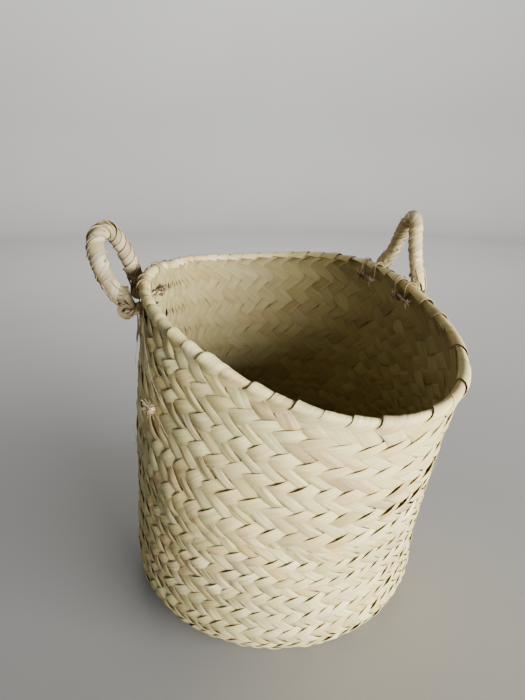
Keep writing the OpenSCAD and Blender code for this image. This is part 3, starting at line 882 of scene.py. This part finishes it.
def make_lashing(handle, side, word):
    """The cord that an eye turns on, with its two legs through the wall, and the strips that bind it."""
    strips = Strips()
    x, y = LEG_X / MM, -LEG_LEN / MM
    route = [[-x, y, 0], [-x, y * 0.7, 0], [-x, -5, 0], [-x, -2, 0], [-x + 1.4, -0.3, 0], [-x + 4, 0, 0],
             [x - 4, 0, 0], [x - 1.4, -0.3, 0], [x, -2, 0], [x, -5, 0], [x, y * 0.7, 0], [x, y, 0]]
    points = spline(handle.foot(side, route), 0.7 * MM)
    rope = Rope(points, np.broadcast_to(handle.w, points.shape))
    twist(strips, rope, LASHING_D / 2 * 0.97, 2, 10 * MM, CORD_TONES)
    # Leaf bound round both legs between the eye and the wall
    t = np.linspace(0, 2 * math.pi, 40)
    loop_u, loop_v, loop_w, binding_w = x + 3.2, -10.4, 3.3, 2.6 * MM
    around = np.stack([loop_u * np.cos(t), loop_v + 0 * t, loop_w * np.sin(t)], -1)
    for shift in (-0.9, 1.1):
        loop = around + np.array([0, shift, 0]) + 0.25 * shift * np.stack([np.cos(t), 0 * t, np.sin(t)], -1)
        outward = handle.foot(side, loop) - handle.foot(side, around * [0.2, 1, 0])
        strand(strips, handle.foot(side, loop), unit(outward), binding_w, handle.tones, taper=0)
    # Strands over the rim to the knot inside
    foot_a = handle.feet[0 if side < 0 else 1]
    for way in (-1, 1):
        a0 = foot_a + way * rng.uniform(0.03, 0.06)
        points = over_rim(a0, a0 + rng.uniform(0.02, 0.13), 1.5 * MM, rng.uniform(34, 46) * MM)
        bound = handle.foot(side, [0, -10.2, 3.2])
        reach = spline(np.stack([bound, (bound + points[0]) / 2, points[0]]), 1.5 * MM)
        points = np.concatenate([reach[:-1], points])
        strand(strips, points, rim_normals(points), rng.uniform(2.0, 3.0) * MM, handle.tones, taper=0.5)
    # Ends that hang down the wall
    foot_q = RIM_Q - handle.drop / stretch(foot_a)
    most_worn = handle.name == "left" and side > 0
    for i in range(5 if most_worn else 2):
        t = np.linspace(0, 1, 14)
        length, a = rng.uniform(9, 20) * MM, foot_a + rng.uniform(0, 0.08) + rng.uniform(-0.03, 0.14) * t
        out = (2.4 + 1.0 * (1 - t) ** 3 + 1.2 * t ** 3) * MM
        points = on_wall(foot_q - 5 * MM - length * t, a, out)
        strand(strips, points, unit(points * [1, 1, 0]), rng.uniform(1.8, 3.2) * MM, PALE_TONES, LEAF_T * 0.7,
               taper=0.5, twirl=rng.uniform(-0.6, 0.6))
    for i in range(7 if most_worn else 1):
        t = np.linspace(0, 1, 18)
        a = foot_a + rng.uniform(0.1, 0.22) + rng.uniform(0.0, 0.24) * t ** 1.2 + 0.012 * np.sin(7 * t + i)
        out = (2.4 + 0.8 * np.sin(5 * t + i) ** 2) * MM
        points = on_wall(foot_q + rng.uniform(-6, 8) * MM - rng.uniform(28, 52) * MM * t, a, out)
        strand(strips, points, unit(points * [1, 1, 0]), rng.uniform(0.5, 1.0) * MM, PALE_TONES, LEAF_T * 0.5,
               taper=0.7)
    place(strips.mesh(f"{handle.name}_{word}_lashing_cord", CORD), "basket", "palm_cord",
          f"{handle.name}_{word}_lashing")


def rim_normals(points):
    """Directions away from the middle of the rim's roll, at points near it."""
    a = np.arctan2(points[:, 1], points[:, 0])
    middle, up, _ = rim_axes(a)
    away = points - middle
    return unit(away - np.minimum((away * up).sum(-1, keepdims=True), 0) * up)


def make_knot(handle, side, word):
    """The knot inside the wall: both legs' ends tied over each other in loose loops, with frayed tips."""
    strips = Strips()
    x, y = LEG_X / MM, -LEG_LEN / MM
    points = spline(handle.foot(side, [[-x - 2, y, 0.6], [-x / 2, y + 1, -0.8], [x / 2, y - 1, 0.8],
                                       [x + 2, y, -0.6]]), 1 * MM)
    rope = Rope(points, np.broadcast_to(handle.v, points.shape))
    twist(strips, rope, 1.7 * MM, 2, 9 * MM, KNOT_TONES)
    t = np.linspace(0, 2 * math.pi, 30)[:, None]
    for i in range(6):
        centre = np.array([rng.uniform(-1, 1) * x, y + 0.8, 0])
        one = unit(np.array([rng.normal(0, 1.1), rng.normal(0, 0.3), rng.normal(0, 0.6)]))
        two = unit(np.cross(one, rng.normal(0, 1, 3)))
        size = rng.uniform(2.2, 3.4)
        loop = handle.foot(side, centre + size * (one * np.cos(t) + two * np.sin(t)))
        outward = unit(loop - handle.foot(side, centre))
        strand(strips, loop, outward, rng.uniform(0.9, 1.8) * MM, KNOT_TONES, taper=0)
    for i in range(7):
        root = np.array([rng.choice([-1, 1]) * x, y, 0])
        tip = np.array([rng.normal(0, 5), rng.uniform(-1, 1.5), rng.uniform(-10, 6)])
        route = np.stack([root, root + tip * 0.5 + [0, -1, 1], root + tip])
        points = spline(handle.foot(side, route), 1 * MM)
        strand(strips, points, -handle.v, rng.uniform(0.4, 1.0) * MM, CORD_TONES, taper=0.8, twirl=0.8)
    place(strips.mesh(f"{handle.name}_{word}_knot_leaf", CORD), "basket", "palm_cord",
          f"{handle.name}_{word}_knot")


def make_handles():
    # The left handle's leaf is painted darker as shade, the right one's lighter as light
    for handle in (Handle("left", LEFT_FEET, LEFT_DROP, LEFT_ROUTE, painted_light_scale=0.84),
                   Handle("right", RIGHT_FEET, RIGHT_DROP, RIGHT_ROUTE, painted_light_scale=1.12)):
        make_handle(handle)
        for side, word in ((-1, "back"), (1, "front")):
            make_eye(handle, side, word)
            make_lashing(handle, side, word)
            make_knot(handle, side, word)


make_handles()


# ---- tied tuft on the left side, and loose fibres ----
def make_side_tie():
    """The tied tuft on the left side: three loops, a brush of frayed ends and a tail."""
    strips = Strips()
    q = FOOT_END + (TIE_Z - FOOT_R) / stretch(TIE_DIR)
    middle = on_wall(q, TIE_DIR, 4 * MM)
    outward = unit(on_wall(q, TIE_DIR, 5 * MM) - middle)
    across = unit(np.cross(UPWARDS, outward))
    upward = np.cross(outward, across)
    t = np.linspace(0, 2 * math.pi, 26)[:, None]
    for lean in (0.3, 1.4, 2.5):
        one = across * math.cos(lean) + upward * math.sin(lean)
        loop = middle + (one * np.cos(t) * 4.1 + outward * np.sin(t) * 3.0) * MM
        strand(strips, loop, unit(loop - middle), 2.8 * MM, TIE_TONES, taper=0)
    for i in range(40):
        tip = (across * rng.normal(0, 1) + upward * rng.normal(0.1, 1) + outward * rng.uniform(0, 0.9))
        tip = unit(tip) * rng.uniform(5.5, 10.5) * MM
        t = np.linspace(0, 1, 6)[:, None]
        points = middle + tip * t + upward * rng.normal(0, 1.2) * MM * t ** 2
        strand(strips, points, outward + 0.01 * across, rng.uniform(0.35, 0.9) * MM, TIE_TONES, 0.2 * MM,
               taper=0.8)
    t = np.linspace(0, 1, 20)
    tail = on_wall(q - t * 14 * MM, TIE_DIR + t * 0.13, (2.6 - 0.6 * t) * MM)
    strand(strips, tail, outward, 1.3 * MM, TIE_TONES, 0.25 * MM, twirl=0.5)
    place(strips.mesh("side_tie_tuft", CORD), "basket", "palm_cord", "side_tie")


def make_fibres():
    """Fine loose fibres that stand off the plait here and there."""
    strips = Strips()
    for i in range(36):
        q, a = rng.uniform(SEAM[2], RIM_Q - 12 * MM), rng.uniform(0, 2 * math.pi)
        length, lean = rng.uniform(7, 22) * MM, rng.choice([-1, 1])
        t = np.linspace(0, 1, 10)
        out = 1.6 * MM + rng.uniform(0, 3.0) * MM * t ** 2
        rising = q + length * 0.6 * t + wobble(t, 4, 0.5 * MM)
        points = on_wall(rising, a + lean * length * 0.8 * t / BODY_R, out)
        outward = unit(points * [1, 1, 0])
        strand(strips, points, outward, rng.uniform(0.3, 0.6) * MM, HANDLE_TONES, 0.15 * MM, taper=0.7)
    place(strips.mesh("loose_fibres", CORD), "basket", "palm_cord")


make_side_tie()
make_fibres()

# ---- camera, light and floor ----
CAMERA_AT, CAMERA_DOWN = (-0.0124, -0.5297, 0.447), 19.9   # its place, and how far it looks down in degrees

camera = bpy.data.cameras.new("camera")
camera.lens, camera.sensor_width = 29.1, 36
camera_ob = bpy.data.objects.new("camera", camera)
camera_ob.location = CAMERA_AT
camera_ob.rotation_euler = (math.radians(90 - CAMERA_DOWN), 0, 0)
bpy.context.scene.collection.objects.link(camera_ob)
bpy.context.scene.camera = camera_ob


def area_light(name, location, target, width, height, power):
    light = bpy.data.lights.new(name, "AREA")
    light.shape, light.size, light.size_y, light.energy = "RECTANGLE", width, height, power
    ob = bpy.data.objects.new(name, light)
    bpy.context.scene.collection.objects.link(ob)
    ob.location = location
    direction = np.array(target) - np.array(location)
    ob.rotation_euler = Vector(direction).to_track_quat("-Z", "Y").to_euler()


area_light("window", location=(1.60, -1.38, 0.42), target=(0, 0, 0.3), width=2.0, height=0.75, power=200)
area_light("wall_wash", location=(0, 1.0, 2.3), target=(0, 3.2, 1.0), width=1.2, height=1.2, power=150)

world = bpy.data.worlds.new("world")
world.use_nodes = True
background = world.node_tree.nodes["Background"]
background.inputs["Color"].default_value = (0.80, 0.84, 0.90, 1)
background.inputs["Strength"].default_value = 0.035
bpy.context.scene.world = world


def make_floor():
    """A round pale floor that curves up into a wall well away from the basket."""
    floor_r, bend_r, wall_top, sides = 2.6, 0.6, 2.6, 96
    bend = np.linspace(0, math.pi / 2, 12)
    outline = [(0.01, 0)] + [(floor_r + bend_r * math.sin(t), bend_r - bend_r * math.cos(t)) for t in bend]
    outline.append((floor_r + bend_r, wall_top))
    turn = np.arange(sides) * 2 * math.pi / sides
    points = [(r * math.cos(t), r * math.sin(t), z) for r, z in outline for t in turn]

    def corner(i, j):
        return i * sides + j % sides

    faces = [(corner(i, j), corner(i, j + 1), corner(i + 1, j + 1), corner(i + 1, j))
             for i in range(len(outline) - 1) for j in range(sides)]
    faces.append(tuple(reversed(range(sides))))
    mesh = bpy.data.meshes.new("floor")
    mesh.from_pydata(points, [], faces)
    mesh.polygons.foreach_set("use_smooth", np.ones(len(faces), bool))
    mesh.materials.append(plain_material("floor", (0.30, 0.295, 0.285, 1), 0.8))
    floor = bpy.data.objects.new("floor", mesh)
    bpy.context.scene.collection.objects.link(floor)


make_floor()
